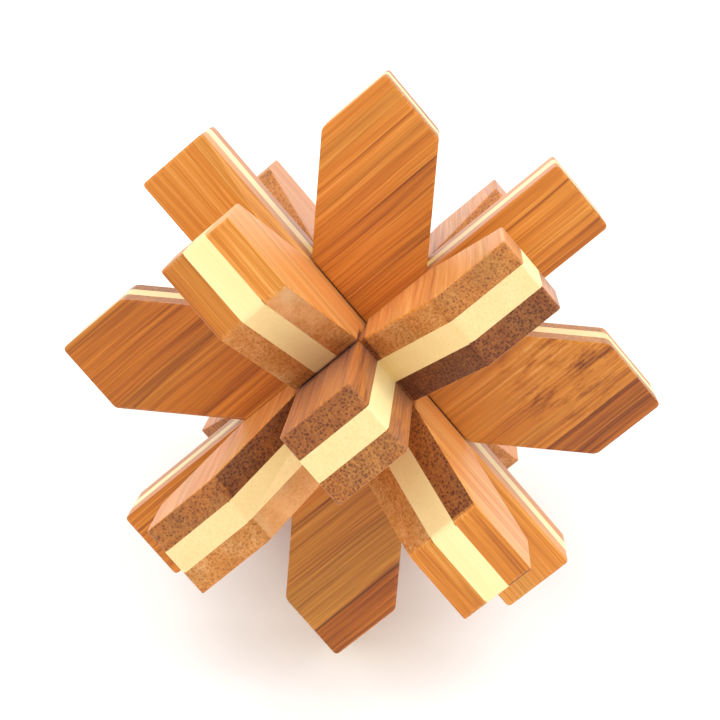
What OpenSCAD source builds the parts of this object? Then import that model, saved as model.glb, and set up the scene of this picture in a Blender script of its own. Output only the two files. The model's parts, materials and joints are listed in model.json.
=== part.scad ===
// Interlocking burr puzzle: six laminated boards around one straight key stick.
// Puzzle axes: x runs left to right, y along the key stick, z from back to front.
// Every board is three glued layers thick and lies in one of the three middle planes.
// The assembled puzzle stands on three pointed tips, with the x, y and z arms rising at one angle.

/* [Boards] */
// Thickness of one glued layer; three layers make a board
layer = 4; // [3.5:0.1:4.4]

/* [Arms] */
// Distance from the centre to the end of a square arm
square_reach = 43; // [38:0.5:60]
// Distance from the centre to a pointed arm's tip, measured along either of its two axes
point_reach = 32.2; // [31:0.2:36]
// How far a pointed arm's long edges stand from its diagonal, measured along an axis
point_offset = 12.2; // [12:0.1:13]

/* [Interlock] */
// Gap left between neighbouring pieces
slip = 0.2; // [0.1:0.05:0.25]
// Distance from the centre to the inner top edge of a dovetail foot
foot_start = 11.6; // [11.4:0.1:11.8]
// Width of a dovetail foot where it meets its fork
foot_width = 3.4; // [3:0.1:3.5]
// How far a dovetail foot leans inwards over its depth
foot_lean = 2.4; // [2.2:0.1:2.5]

/* [Hidden] */

// Places of the three layers through a board
LOW = 0;
CORE = 1;
HIGH = 2;

board = 3 * layer;
half = board / 2;
// Nearest a board comes to the centre, clear of the key stick
base = half + slip;
// A yoke's bridge is half a board deep, between the key stick and the fork above it
bridge_top = base + half - slip;
mouth_top = bridge_top + slip;
// The dovetail feet reach through one layer of the side forks
foot_depth = layer;
foot_end = foot_start + foot_width;
// A side fork shifts inwards by this much to let the feet out
release_shift = foot_lean + slip;
// Clearance across a leaning wall, measured along the board
lean_slip = 1.5 * slip;

// Angle between the vertical and each of the three puzzle axes
axis_tilt = acos(1 / sqrt(3));
stand_height = (2 * point_reach + half) / sqrt(3);

// The edge of a pointed arm: x leads outwards from the centre, y to the side.
// It runs from the board's inner edge round the tip and back to inner_y.
function pointed_arm(inner_y) = [
    [base, base + point_offset],
    [point_reach - point_offset, point_reach],
    [point_reach, point_reach],
    [point_reach, point_reach - point_offset],
    [inner_y + point_offset, inner_y],
];

// A closed outline from the points on one side of its middle line
module both_sides(points) {
    polygon(concat(points, [for (i = [len(points) - 1 : -1 : 0]) [points[i].x, -points[i].y]]));
}

// A slice through a board, drawn flat and cut to one layer
module one_layer(place) {
    translate([0, 0, (place - 1.5) * layer])
        linear_extrude(layer) children();
}

module side_fork_outline() {
    both_sides(concat(pointed_arm(half), [[square_reach, half]]));
}

// Only the core layer has feet, so the outer layers cover the pockets they drop into
module end_fork_outline(place) {
    both_sides(concat(
        [[mouth_top, base], [base, base]],
        place == CORE ? dovetail_foot() : [],
        pointed_arm(half),
        [[square_reach, half]]
    ));
}

module yoke_outline() {
    both_sides(concat(pointed_arm(base), [[bridge_top, base]]));
}

// A foot on the core layer's inner edge, leaning towards the middle
function dovetail_foot() = [
    [base, foot_start],
    [base - foot_depth, foot_start - foot_lean],
    [base - foot_depth, foot_end],
    [base, foot_end],
];

// How far the leaning side of a foot has moved in at a given depth below the fork
function lean_at(depth) = foot_lean * depth / foot_depth;

// The blind pocket in a side fork's outer layer that a foot drops into.
// It is longer than the foot, so that the side fork can shift inwards and let go.
module dovetail_pocket() {
    outer = foot_end + release_shift;
    above = layer;
    rotate([90, 0, 0])
        linear_extrude(layer + 2 * slip, center = true)
            polygon([
                [foot_start - lean_at(slip) - lean_slip, half + above],
                [foot_start - lean_at(slip) - lean_slip, half],
                [foot_start - lean_at(slip + foot_depth) - lean_slip, half - layer],
                [outer, half - layer],
                [outer, half + above],
            ]);
}

// Turns a flat outline so that it leads towards the front, with its sides to left and right
module towards_front_level() {
    rotate([0, -90, -90]) children();
}

// Turns a flat outline so that it leads towards the front, with its sides along the key stick
module towards_front_upright() {
    rotate([0, -90, 0]) children();
}

module to_left() {
    mirror([1, 0, 0]) children();
}

module to_back() {
    mirror([0, 0, 1]) children();
}

// Stands the puzzle on its three lowest tips
module standing() {
    translate([0, 0, stand_height])
        rotate([axis_tilt, 0, 0])
            rotate([0, 0, 45]) children();
}

// Carbonised outer layers and a natural core
module bamboo(place) {
    color(place == CORE ? "#efd79b" : "#b96f30") children();
}

module key_stick(place) {
    bamboo(place) standing() one_layer(place)
        square([board, 2 * square_reach], center = true);
}

module right_fork(place) {
    bamboo(place) standing() side_fork_layer(place);
}

module left_fork(place) {
    bamboo(place) standing() to_left() side_fork_layer(place);
}

module side_fork_layer(place) {
    difference() {
        one_layer(place) side_fork_outline();
        if (place == HIGH) dovetail_pocket();
        if (place == LOW) to_back() dovetail_pocket();
    }
}

module front_fork(place) {
    bamboo(place) standing() towards_front_level() one_layer(place) end_fork_outline(place);
}

module back_fork(place) {
    bamboo(place) standing() to_back() towards_front_level() one_layer(place) end_fork_outline(place);
}

module front_yoke(place) {
    bamboo(place) standing() towards_front_upright() one_layer(place) yoke_outline();
}

module back_yoke(place) {
    bamboo(place) standing() to_back() towards_front_upright() one_layer(place) yoke_outline();
}

key_stick(HIGH);  // key_front_layer
key_stick(CORE);  // key_core_layer
key_stick(LOW);  // key_back_layer
right_fork(HIGH);  // right_fork_front_layer
right_fork(CORE);  // right_fork_core_layer
right_fork(LOW);  // right_fork_back_layer
left_fork(HIGH);  // left_fork_front_layer
left_fork(CORE);  // left_fork_core_layer
left_fork(LOW);  // left_fork_back_layer
front_fork(HIGH);  // front_fork_upper_layer
front_fork(CORE);  // front_fork_core_layer
front_fork(LOW);  // front_fork_lower_layer
back_fork(HIGH);  // back_fork_upper_layer
back_fork(CORE);  // back_fork_core_layer
back_fork(LOW);  // back_fork_lower_layer
// An upright board's layers run from its right face (place LOW) to its left face (place HIGH)
front_yoke(LOW);  // front_yoke_right_layer
front_yoke(CORE);  // front_yoke_core_layer
front_yoke(HIGH);  // front_yoke_left_layer
back_yoke(LOW);  // back_yoke_right_layer
back_yoke(CORE);  // back_yoke_core_layer
back_yoke(HIGH);  // back_yoke_left_layer
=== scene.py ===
"""Looks for the layered bamboo burr puzzle: its wood, eased edges, floor, lights and camera."""
import json
import math
import random
from collections import namedtuple

import bmesh
import bpy
from mathutils import Matrix, Vector


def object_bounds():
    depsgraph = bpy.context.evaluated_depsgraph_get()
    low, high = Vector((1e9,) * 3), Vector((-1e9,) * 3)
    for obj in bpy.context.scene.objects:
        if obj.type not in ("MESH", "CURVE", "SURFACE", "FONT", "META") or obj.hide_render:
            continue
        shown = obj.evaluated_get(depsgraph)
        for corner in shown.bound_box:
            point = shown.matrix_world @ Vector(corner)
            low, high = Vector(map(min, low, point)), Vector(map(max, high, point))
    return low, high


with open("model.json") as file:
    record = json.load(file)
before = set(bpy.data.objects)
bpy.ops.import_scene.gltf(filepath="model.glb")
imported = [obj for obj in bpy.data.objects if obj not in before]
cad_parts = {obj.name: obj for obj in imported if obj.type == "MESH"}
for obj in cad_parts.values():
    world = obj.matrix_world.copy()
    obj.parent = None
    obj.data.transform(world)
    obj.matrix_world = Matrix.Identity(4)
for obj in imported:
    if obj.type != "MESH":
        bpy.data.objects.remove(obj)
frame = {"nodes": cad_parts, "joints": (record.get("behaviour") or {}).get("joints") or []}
cad_low, cad_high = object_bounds()

MM = 0.001
CENTRE = (cad_low + cad_high) / 2

# The three puzzle axes stand a third of a turn apart around the vertical
UP = Vector((0, 0, 1))
THIRD_TURN = math.radians(120)
ALONG_KEY = Vector(frame["joints"][0]["axis"]).normalized()
FRONT = Matrix.Rotation(THIRD_TURN, 3, UP) @ ALONG_KEY
RIGHT = Matrix.Rotation(-THIRD_TURN, 3, UP) @ ALONG_KEY

# Each loose piece: the way its grain runs, and the way its three layers are stacked
BOARDS = {
    "key": (ALONG_KEY, FRONT),
    "right_fork": (RIGHT, FRONT),
    "left_fork": (RIGHT, FRONT),
    "front_fork": (FRONT, ALONG_KEY),
    "back_fork": (FRONT, ALONG_KEY),
    "front_yoke": (ALONG_KEY, RIGHT),
    "back_yoke": (ALONG_KEY, RIGHT),
}

# Boards are pressed from strips: how far the first seam lies below the middle and the strips'
# width, both in mm, and how many strips there are
Strips = namedtuple("Strips", "first_seam width count")
SIDE_FORK_STRIPS = Strips(26.8, 7.5, 9)
OTHER_STRIPS = Strips(19.5, 13.0, 5)

# Tone of each strip along the grain of the layers seen best, from 0, dark, to 1, light. Strips
# are counted upwards on the side forks, from left to right on the end forks, and outwards on
# the yokes.
STRIP_TONES = {
    "right_fork_front": [0.26, 0.54, 0.58, 0.56, 0.58, 0.56, 0.53, 0.57, 0.62],
    "left_fork_front": [0.26, 0.45, 0.48, 0.54, 0.52, 0.54, 0.48, 0.43, 0.41],
    # The middle strip here, the front arm, is darker partly by its own tone and partly as painted
    # shade near the middle of the puzzle, where the other pieces keep light and reflections off it
    "front_fork_upper": [0.70, 0.68, 0.34, 0.74, 0.76],
    "front_fork_lower": [0.66, 0.70, 0.52, 0.40, 0.40],
    "front_yoke_right": [0.5, 0.5, 0.5, 0.78, 0.84],
    "front_yoke_left": [0.5, 0.5, 0.5, 0.60, 0.74],
    "key_front": [0.76] * OTHER_STRIPS.count,
}
# The same strips where they are cut across
CUT_TONES = {
    "front_fork_upper": [0.38, 0.10, 0.28, 0.66, 0.52],
    # The second strip here, on the lower left prong's slanted cut face, is pale partly from its
    # own wood and partly as a painted highlight
    "front_fork_lower": [0.68, 0.90, 0.42, 0.04, 0.18],
    "front_yoke_right": [0.5, 0.5, 0.5, 0.54, 0.58],
    "front_yoke_left": [0.5, 0.5, 0.5, 0.68, 0.70],
}
# How much lighter a layer's cut faces are one millimetre further along its grain
CUT_DRIFT = {"front_yoke_right": 0.20 / 10}

# The range that the tones of the other dark strips are drawn from
UNSEEN_TONES = (0.36, 0.70)
# Natural bamboo is pale and even, so its strips share one tone
NATURAL_TONE = 0.66

# How strongly bands, streaks, single fibres and seams show along the grain
CARBONISED_MARKS = (0.42, 1.05, 0.95, -0.42)
NATURAL_MARKS = (0.4, 0.5, 0.45, -0.25)

# How far apart, in mm, the pieces' cuts lie in the noise that draws their grain
CUT_SPACING = 61.0
# The mottled patch: its middle, from the centre, and how far out it starts to fade and is gone
PATCH_MIDDLE = (25 * RIGHT - 17 * ALONG_KEY + 5 * FRONT) * MM
PATCH_CORE = 5 * MM
PATCH_EDGE = 13 * MM
# Noise cells per millimetre across the cut ends
BUNDLES_PER_MM = 2.2
BUNDLE_SIZES_PER_MM = 0.9
GRIT_PER_MM = 3.6

# Outer edges that turn by at least this much count as sharp, and are eased this far
SHARP_TURN = math.radians(20)
EDGE_RADIUS = 0.55 * MM
EDGE_SEGMENTS = 3
# Points this close together are one point
SAME_PLACE = 0.02 * MM
WELD_DISTANCE = 0.002 * MM

FLOOR_SIZE = 6.0
FLOOR_SPECKLES_PER_M = 60.0
ROOM_BRIGHTNESS = 0.82
WARM_WHITE = (1.0, 0.98, 0.95)
PLAIN_WHITE = (1.0, 1.0, 1.0)
# Each light: azimuth and elevation in degrees (azimuth 0 is from the front), distance and size
# in metres, power in watts, and colour
LIGHTS = {
    "key_light": (-42, 55, 0.75, 0.50, 1.0, WARM_WHITE),
    "front_fill": (30, 10, 0.90, 0.70, 2.0, PLAIN_WHITE),
    "right_back_light": (115, 42, 0.80, 0.60, 4.0, PLAIN_WHITE),
    "left_back_light": (-120, 45, 0.80, 0.60, 3.2, PLAIN_WHITE),
}

# The camera, from and towards the middle of the puzzle, with its angles in degrees
LENS_MM = 84.8
SENSOR_MM = 36.0
NEAREST_SEEN = 10 * MM
CAMERA_DISTANCE = 262.7 * MM
CAMERA_AZIMUTH = 3.03
CAMERA_ELEVATION = 49.1
CAMERA_ROLL = 2.95
AIM_OFFSET = Vector((-0.4, 0.9, 0.7)) * MM


class Graph:
    """Short calls for building a material's node tree."""

    def __init__(self, name):
        self.material = bpy.data.materials.new(name)
        self.material.use_nodes = True
        self.tree = self.material.node_tree
        self.tree.nodes.clear()

    def node(self, kind, inputs=(), **properties):
        made = self.tree.nodes.new(kind)
        for key, value in properties.items():
            setattr(made, key, value)
        for key, value in dict(inputs).items():
            if isinstance(value, bpy.types.NodeSocket):
                self.tree.links.new(value, made.inputs[key])
            else:
                made.inputs[key].default_value = value
        return made

    def math(self, operation, a, b=0.0):
        return self.node("ShaderNodeMath", {0: a, 1: b}, operation=operation).outputs[0]

    def dot(self, a, direction):
        made = self.node("ShaderNodeVectorMath", {0: a, 1: direction}, operation="DOT_PRODUCT")
        return made.outputs["Value"]

    def vector(self, x, y, z):
        return self.node("ShaderNodeCombineXYZ", {0: x, 1: y, 2: z}).outputs[0]

    def noise(self, vector, detail, roughness=0.55, scale=1.0):
        inputs = {"Vector": vector, "Scale": scale, "Detail": detail, "Roughness": roughness}
        return self.node("ShaderNodeTexNoise", inputs).outputs["Fac"]

    def between(self, value, start, end):
        """0 up to start, 1 from end on, smooth between them; start may be the larger."""
        inputs = {"Value": value, "From Min": start, "From Max": end}
        made = self.node("ShaderNodeMapRange", inputs, interpolation_type="SMOOTHSTEP")
        return made.outputs["Result"]

    def mix(self, factor, a, b, blend="MIX"):
        made = self.node("ShaderNodeMix", data_type="RGBA", blend_type=blend)
        for socket, value in (("Factor_Float", factor), ("A_Color", a), ("B_Color", b)):
            target = next(s for s in made.inputs if s.identifier == socket)
            if isinstance(value, bpy.types.NodeSocket):
                self.tree.links.new(value, target)
            else:
                target.default_value = value
        return next(s for s in made.outputs if s.identifier == "Result_Color")

    def ramp(self, value, stops, interpolation="LINEAR"):
        made = self.node("ShaderNodeValToRGB", {"Fac": value})
        made.color_ramp.interpolation = interpolation
        elements = made.color_ramp.elements
        while len(elements) < len(stops):
            elements.new(0.5)
        for element, (place, colour) in zip(elements, stops):
            element.position = place
            element.color = colour
        return made.outputs["Color"]


def grey(value):
    return (value, value, value, 1.0)


# Colours along the grain and across the cut ends, from dark to light, in linear light
CARBONISED = [
    (0.00, (0.160, 0.036, 0.006, 1)),
    (0.25, (0.330, 0.086, 0.010, 1)),
    (0.50, (0.510, 0.155, 0.016, 1)),
    (0.75, (0.650, 0.225, 0.026, 1)),
    (1.00, (0.780, 0.350, 0.080, 1)),
]
NATURAL = [
    (0.00, (0.780, 0.560, 0.220, 1)),
    (0.50, (0.890, 0.730, 0.340, 1)),
    (1.00, (0.950, 0.840, 0.430, 1)),
]
CARBONISED_END = [
    (0.00, (0.095, 0.020, 0.005, 1)),
    (0.25, (0.190, 0.054, 0.012, 1)),
    (0.50, (0.350, 0.112, 0.022, 1)),
    (0.75, (0.540, 0.200, 0.038, 1)),
    (1.00, (0.740, 0.380, 0.150, 1)),
]
NATURAL_END = [
    (0.00, (0.720, 0.420, 0.160, 1)),
    (0.50, (0.860, 0.580, 0.255, 1)),
    (1.00, (0.940, 0.700, 0.340, 1)),
]
OLIVE_TINT = (0.88, 1.14, 1.55, 1)

# The bare sanded wood's gloss and its pinkish sheen
FINISH = {
    "Specular IOR Level": 0.30,
    "Sheen Weight": 0.12,
    "Sheen Roughness": 0.45,
    "Sheen Tint": (1.0, 0.86, 0.72, 1),
}


def layer_tones(known, board_layer, count, seed):
    """One tone for each strip across a layer, from 0, dark, to 1, light."""
    if board_layer in known:
        return known[board_layer]
    draw = random.Random(seed)
    return [draw.uniform(*UNSEEN_TONES) for _ in range(count)]


def bamboo(node_name, piece, layer, seed):
    """Strip bamboo whose fibres run through the solid: streaks along it, specks on its ends."""
    natural = layer == "core"
    side_fork = piece in ("right_fork", "left_fork")
    strips = SIDE_FORK_STRIPS if side_fork else OTHER_STRIPS
    board_layer = piece + "_" + layer
    grain, stacked = BOARDS[piece]
    across = stacked.cross(grain)
    g = Graph("bamboo_" + node_name)
    coordinates = g.node("ShaderNodeTexCoord")
    from_centre = g.node(
        "ShaderNodeVectorMath", {0: coordinates.outputs["Object"], 1: CENTRE}, operation="SUBTRACT"
    ).outputs[0]
    along = g.math("DIVIDE", g.dot(from_centre, grain), MM)
    side = g.math("DIVIDE", g.dot(from_centre, across), MM)
    depth = g.math("DIVIDE", g.dot(from_centre, stacked), MM)
    shifted = g.math("ADD", along, CUT_SPACING * seed)

    # The grain wanders by a few tenths of a millimetre along its length
    wander_at = g.vector(g.math("MULTIPLY", shifted, 0.035), g.math("MULTIPLY", side, 0.05), 0.0)
    wander = g.math("SUBTRACT", g.noise(wander_at, 1.0), 0.5)
    wandering_side = g.math("ADD", side, g.math("MULTIPLY", wander, 1.6))

    def fibre_noise(per_mm_along, per_mm_across, detail, roughness=0.55):
        """Noise drawn out along the grain, centred on 0."""
        at = g.vector(
            g.math("MULTIPLY", shifted, per_mm_along),
            g.math("MULTIPLY", wandering_side, per_mm_across),
            g.math("MULTIPLY", depth, per_mm_across),
        )
        return g.math("SUBTRACT", g.noise(at, detail, roughness), 0.5)

    def add_up(start, *terms):
        """start plus each value times its weight."""
        total = start
        for value, weight in terms:
            total = g.math("ADD", total, g.math("MULTIPLY", value, weight))
        return total

    # Strips pressed side by side, each with its own tone and a thin dark seam
    from_first_strip = g.math("ADD", wandering_side, strips.first_seam + strips.width)
    strip = g.math("DIVIDE", from_first_strip, strips.width)

    def tone_from(known):
        tones = layer_tones(known, board_layer, strips.count, seed)
        stops = [(i / strips.count, grey(tone)) for i, tone in enumerate(tones)]
        return g.ramp(g.math("DIVIDE", strip, float(strips.count)), stops, "CONSTANT")

    tone = tone_from(STRIP_TONES)
    cut_tone = add_up(tone_from(CUT_TONES), (along, CUT_DRIFT.get(board_layer, 0.0)))
    if natural:
        tone = cut_tone = NATURAL_TONE
    past_mid_strip = g.math("FRACT", g.math("ADD", strip, 0.5))
    to_seam = g.math("ABSOLUTE", g.math("SUBTRACT", past_mid_strip, 0.5))
    seam_strength = g.math("ADD", fibre_noise(0.02, 0.12, 1.0), 0.5)
    on_seam = g.math("SUBTRACT", 1.0, g.between(to_seam, 0.008, 0.040))
    seam = g.math("MULTIPLY", on_seam, seam_strength)

    # Soft bands, streaks and single fibres, from broad to fine
    bands = fibre_noise(0.006, 0.26, 2.0)
    streaks = fibre_noise(0.016, 1.15, 4.0, 0.70)
    fibres = fibre_noise(0.045, 3.4, 3.0, 0.62)
    marks = NATURAL_MARKS if natural else CARBONISED_MARKS
    shade = add_up(tone, *zip((bands, streaks, fibres, seam), marks))
    if board_layer == "right_fork_front":
        shade = mottled(g, from_centre, along, wandering_side, shade)
    long_colour = g.ramp(shade, NATURAL if natural else CARBONISED)

    # Fibre bundles cut across: small dark specks, about two to the millimetre, in a pale ground
    across_ends = g.vector(g.math("MULTIPLY", shifted, 0.05), side, depth)
    specks = g.node(
        "ShaderNodeTexVoronoi",
        {"Vector": across_ends, "Scale": BUNDLES_PER_MM, "Randomness": 0.85},
    ).outputs["Distance"]
    bundle_size = g.noise(across_ends, 2.0, 0.5, BUNDLE_SIZES_PER_MM)
    past_edge = g.math("SUBTRACT", specks, add_up(0.26, (bundle_size, 0.20)))
    inside = g.math("SUBTRACT", 1.0, g.between(past_edge, -0.30, 0.22))
    grit = g.math("SUBTRACT", g.noise(across_ends, 2.0, 0.5, GRIT_PER_MM), 0.5)
    clouds = fibre_noise(0.02, 0.40, 3.0)
    end_shade = add_up(cut_tone, (clouds, 0.40), (fibres, 0.20), (seam, -0.15))
    mottle = add_up(0.44, (inside, -1.0), (grit, 1.7))
    if not natural:
        # Specks show less in paler strips, which keeps the painted highlight on the front fork's
        # lower layer smooth
        mottle = g.math("MULTIPLY", mottle, g.between(cut_tone, 1.05, 0.45))
    end_shade = add_up(end_shade, (mottle, 0.22 if natural else 0.36))
    end_colour = g.ramp(end_shade, NATURAL_END if natural else CARBONISED_END)
    facing_end = g.math("ABSOLUTE", g.dot(coordinates.outputs["Normal"], grain))
    end = g.between(facing_end, 0.45, 0.95) if natural else g.between(facing_end, 0.40, 0.70)
    colour = g.mix(end, long_colour, end_colour)
    if not natural:
        # Faint olive bands along the grain
        olive = g.math("MULTIPLY", g.between(fibre_noise(0.010, 0.16, 1.0), -0.02, 0.16), 0.45)
        if side_fork:
            # The lower arms, from about 10 mm below the middle, are greener up to their last strip
            lower_arm = g.between(wandering_side, -8.0, -13.0)
            last_strip = g.between(wandering_side, -strips.first_seam, -strips.first_seam - 0.3)
            greener = g.math("MULTIPLY", lower_arm, g.math("SUBTRACT", 1.0, last_strip))
            olive = add_up(olive, (greener, 0.75 if piece == "left_fork" else 0.35))
        colour = g.mix(g.math("MINIMUM", olive, 1.0), colour, OLIVE_TINT, "MULTIPLY")

    # Sanded faces: roughness varies a little from fibre to fibre, and the ends are duller
    unevenness = g.between(fibre_noise(0.03, 1.6, 2.0), -0.25, 0.25)
    roughness = add_up(0.35, (unevenness, 0.12), (end, 0.14))

    height = add_up(0.5, (streaks, 0.6), (fibres, 0.9), (seam, -0.5))
    height = add_up(height, (g.math("MULTIPLY", inside, end), -0.7))
    bump = g.node("ShaderNodeBump", {"Height": height, "Strength": 0.35, "Distance": 0.10 * MM})

    looks = {"Base Color": colour, "Roughness": roughness, "Normal": bump.outputs["Normal"]}
    shader = g.node("ShaderNodeBsdfPrincipled", {**looks, **FINISH})
    g.node("ShaderNodeOutputMaterial", {"Surface": shader.outputs[0]})
    return g.material


def mottled(g, from_centre, along, side, shade):
    """Dark blotches where a bamboo joint ran through the strip, near the right arm's tip."""
    away = g.node(
        "ShaderNodeVectorMath", {0: from_centre, 1: PATCH_MIDDLE}, operation="DISTANCE"
    ).outputs["Value"]
    near = g.between(away, PATCH_EDGE, PATCH_CORE)
    at = g.vector(g.math("MULTIPLY", along, 0.20), g.math("MULTIPLY", side, 0.62), 3.0)
    blotches = g.between(g.noise(at, 5.0, 0.65), 0.44, 0.66)
    change = g.math("SUBTRACT", 0.12, g.math("MULTIPLY", blotches, 0.46))
    return g.math("ADD", shade, g.math("MULTIPLY", near, change))


def sharp_outer_edges(mesh, stacked):
    """The sharp outward edges of a layer, but not those on its glued faces, as end-point pairs."""
    depths = [(v.co - CENTRE).dot(stacked) for v in mesh.vertices]
    # The glue planes lie half a layer's thickness to either side of the board's middle
    glue_depth = (max(depths) - min(depths)) / 2
    b = bmesh.new()
    b.from_mesh(mesh)
    bmesh.ops.remove_doubles(b, verts=b.verts, dist=SAME_PLACE)
    found = set()
    for edge in b.edges:
        if len(edge.link_faces) != 2 or edge.calc_face_angle_signed() < SHARP_TURN:
            continue
        start, end = ((v.co - CENTRE).dot(stacked) for v in edge.verts)
        level = abs(start - end) < SAME_PLACE
        if level and abs(abs(start) - glue_depth) < SAME_PLACE:
            continue
        found.add(frozenset(place_key(v.co) for v in edge.verts))
    b.free()
    return found


def place_key(point):
    """A point to the nearest hundredth of a millimetre."""
    return tuple(round(c / (0.01 * MM)) for c in point)


def ease_edges(node, stacked):
    """Rounds the sawn edges a little, leaving the three layers flush where they are glued."""
    sharp = sharp_outer_edges(node.data, stacked)
    weights = node.data.attributes.new("bevel_weight_edge", "FLOAT", "EDGE")
    points = node.data.vertices
    for edge in node.data.edges:
        ends = frozenset(place_key(points[i].co) for i in edge.vertices)
        weights.data[edge.index].value = 1.0 if ends in sharp else 0.0
    weld = node.modifiers.new("weld", "WELD")
    weld.merge_threshold = WELD_DISTANCE
    bevel = node.modifiers.new("eased_edges", "BEVEL")
    bevel.limit_method = "WEIGHT"
    bevel.width = EDGE_RADIUS
    bevel.segments = EDGE_SEGMENTS


def dress_layers():
    """Gives every layer of every piece its own cut of bamboo."""
    for seed, name in enumerate(sorted(frame["nodes"]), start=1):
        piece = next(p for p in BOARDS if name.startswith(p))
        layer = name[len(piece) + 1:].split("_")[0]
        node = frame["nodes"][name]
        ease_edges(node, BOARDS[piece][1])
        node.data.materials.clear()
        node.data.materials.append(bamboo(name, piece, layer, seed))


def pale_floor():
    """A plain matte floor that fades to the room's white."""
    bpy.ops.mesh.primitive_plane_add(size=FLOOR_SIZE, location=(0, 0, cad_low.z))
    floor = bpy.context.object
    floor.name = "floor"
    g = Graph("pale_floor")
    place = g.node("ShaderNodeTexCoord").outputs["Object"]
    speckle = g.noise(place, 3.0, 0.5, FLOOR_SPECKLES_PER_M)
    colour = g.ramp(speckle, [(0.3, grey(0.92)), (0.7, grey(0.94))])
    shader = g.node("ShaderNodeBsdfPrincipled", {"Base Color": colour, "Roughness": 0.8})
    g.node("ShaderNodeOutputMaterial", {"Surface": shader.outputs[0]})
    floor.data.materials.append(g.material)


def soft_light(name, azimuth, elevation, distance, size, power, colour):
    """A square area light aimed at the middle of the puzzle."""
    light = bpy.data.lights.new(name, "AREA")
    light.size = size
    light.energy = power
    light.color = colour
    lamp = bpy.data.objects.new(name, light)
    bpy.context.scene.collection.objects.link(lamp)
    lamp.location = CENTRE + distance * direction_from_front(azimuth, elevation)
    aim(lamp, CENTRE)


def direction_from_front(azimuth, elevation):
    """The direction that lies at these angles, in degrees; azimuth 0 is the front."""
    turn, rise = math.radians(azimuth), math.radians(elevation)
    level = math.cos(rise)
    return Vector((math.sin(turn) * level, -math.cos(turn) * level, math.sin(rise)))


def aim(thing, target, roll=0.0):
    """Turns a light or camera to face a point; roll is in degrees."""
    looking = (target - thing.location).to_track_quat("-Z", "Y").to_matrix()
    thing.rotation_euler = (looking @ Matrix.Rotation(math.radians(roll), 3, "Z")).to_euler()


def studio():
    """A white room with four soft lights."""
    world = bpy.data.worlds.new("white_room")
    world.use_nodes = True
    background = world.node_tree.nodes["Background"]
    background.inputs["Color"].default_value = grey(1.0)
    background.inputs["Strength"].default_value = ROOM_BRIGHTNESS
    bpy.context.scene.world = world
    bpy.context.scene.view_settings.view_transform = "Standard"
    for name, settings in LIGHTS.items():
        soft_light(name, *settings)


def camera():
    """A long lens from the front, half way up, tilted by a few degrees."""
    lens = bpy.data.cameras.new("camera")
    lens.lens = LENS_MM
    lens.sensor_width = SENSOR_MM
    lens.clip_start = NEAREST_SEEN
    eye = bpy.data.objects.new("camera", lens)
    bpy.context.scene.collection.objects.link(eye)
    towards_eye = direction_from_front(CAMERA_AZIMUTH, CAMERA_ELEVATION)
    eye.location = CENTRE + CAMERA_DISTANCE * towards_eye
    aim(eye, CENTRE + AIM_OFFSET, CAMERA_ROLL)
    bpy.context.scene.camera = eye


dress_layers()
pale_floor()
studio()
camera()
